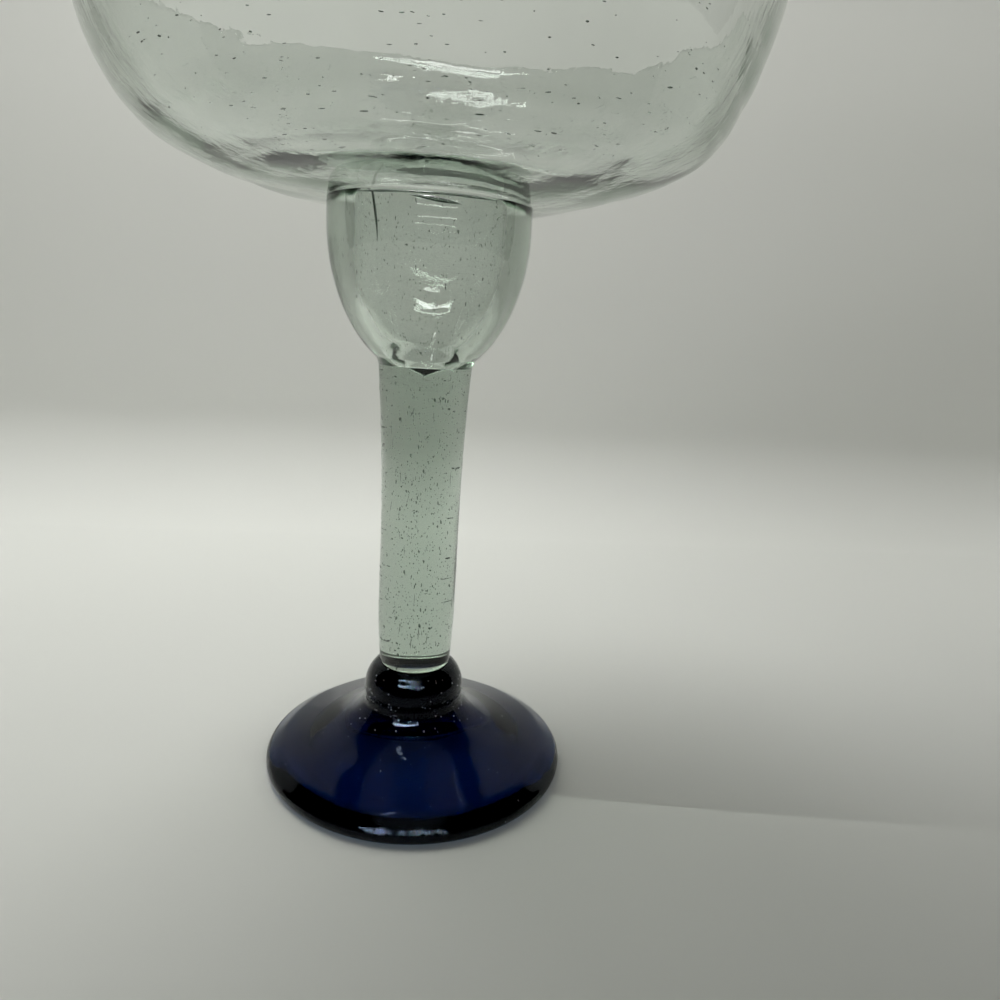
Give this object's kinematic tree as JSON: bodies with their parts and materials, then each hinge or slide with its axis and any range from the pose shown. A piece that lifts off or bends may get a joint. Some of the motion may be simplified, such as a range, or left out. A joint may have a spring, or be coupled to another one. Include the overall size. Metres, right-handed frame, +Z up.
{
  "type": "margarita glass",
  "caption": "Hand-blown margarita glass: a wide clear bowl over a small thick cup, a solid clear stem, and a cobalt knob and hollow round foot.",
  "frame": {"origin": "middle of the bowl's and stem's axis, on the surface that the foot stands on", "axes": "+Z up along the stem; the foot's disc lies 1.1 mm off the axis towards +X, as in the picture; the front is -Y"},
  "size_m": [0.141, 0.141, 0.179],
  "materials": {
    "clear_glass": "clear glass with a pale grey-green tint and many small seeds",
    "cobalt_glass": "deep cobalt blue glass, fire-polished"
  },
  "bodies": {
    "root": {"bowl": "clear_glass", "stem": "clear_glass", "knob": "cobalt_glass", "foot": "cobalt_glass"}
  },
  "joints": []
}
